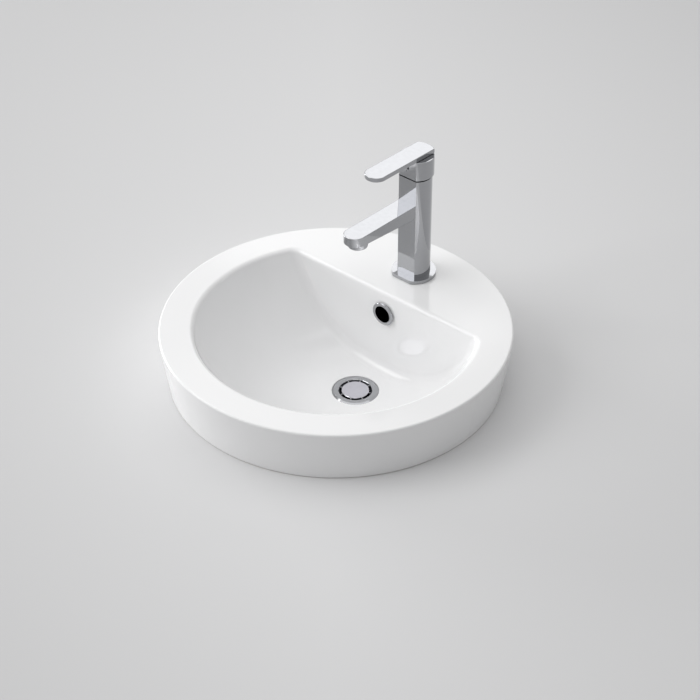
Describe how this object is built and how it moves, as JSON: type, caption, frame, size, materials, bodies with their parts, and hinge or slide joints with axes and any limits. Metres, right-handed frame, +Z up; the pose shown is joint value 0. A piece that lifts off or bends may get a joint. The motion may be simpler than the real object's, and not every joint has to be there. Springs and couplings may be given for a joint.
{
  "type": "inset wash basin with mixer tap",
  "caption": "Round inset wash basin with a D-shaped bowl, rear deck, overflow, push-open waste and a flat single-lever mixer.",
  "frame": {"origin": "centre of the rim's flat seat, in the plane of the worktop that the basin stands on", "axes": "+Z up out of the worktop; +Y from the bowl towards the mixer and the wall; +X to the right of someone standing in front, who looks along +Y"},
  "size_m": [0.4528, 0.4526, 0.4165],
  "materials": {
    "china": "white vitreous china with a gloss glaze",
    "chrome": "polished chrome plate",
    "dark_slots": "chrome plate, dark inside the slots",
    "brass": "machined brass",
    "steel": "zinc plated or stainless steel",
    "rubber": "black rubber",
    "clear_rubber": "milky silicone",
    "white_plastic": "white moulded plastic",
    "grey_plastic": "grey moulded plastic",
    "black_plastic": "black moulded plastic",
    "dot_grey": "grey plastic pip",
    "alumina": "lapped alumina"
  },
  "bodies": {
    "basin": {"basin": "china", "overflow_ring": "chrome", "waste_body": "chrome", "waste_top_gasket": "clear_rubber", "waste_bottom_gasket": "rubber", "waste_slip_ring": "white_plastic", "waste_back_nut": "brass", "latch_housing": "grey_plastic", "latch_spring": "steel", "mixer_body": "chrome", "base_flange": "chrome", "base_seal": "rubber", "aerator_housing": "chrome", "aerator_core": "white_plastic", "aerator_seal": "rubber", "mounting_stud": "steel", "horseshoe_seal": "rubber", "horseshoe_plate": "steel", "mounting_nut": "brass", "cartridge_body": "grey_plastic", "cartridge_seals": "rubber", "disc_fixed": "alumina", "cartridge_nut": "brass"},
    "plug": {"plug_cap": "chrome", "plug_strainer": "dark_slots", "plug_seal": "rubber", "plug_stem": "grey_plastic"},
    "handle_swivel": {"cartridge_carriage": "white_plastic", "pivot_pin": "steel"},
    "moving_disc": {"disc_moving": "alumina", "disc_carrier": "grey_plastic"},
    "handle_lift": {"cartridge_stem": "steel", "handle_cap": "chrome", "lever_plate": "chrome", "handle_screw": "steel", "index_plug": "black_plastic", "index_dot": "dot_grey"}
  },
  "joints": [
    {"name": "plug_slide", "type": "slide", "parent": "basin", "child": "plug", "axis": [0, 0, 1], "range_m": [0, 0.008]},
    {"name": "handle_turn", "type": "hinge", "parent": "basin", "child": "handle_swivel", "pos_m": [0, 0.156, 0.2136], "axis": [0, 0, 1], "range_deg": [-45, 45]},
    {"name": "disc_slide", "type": "slide", "parent": "handle_swivel", "child": "moving_disc", "axis": [0, -1, 0], "range_m": [0, 0.00255]},
    {"name": "handle_lift", "type": "hinge", "parent": "handle_swivel", "child": "handle_lift", "pos_m": [0, 0.156, 0.2136], "axis": [-1, 0, 0], "range_deg": [0, 20]}
  ],
  "couplings": [
    {"joint": "disc_slide", "follows": "handle_lift", "m_per_rad": 0.0073}
  ]
}
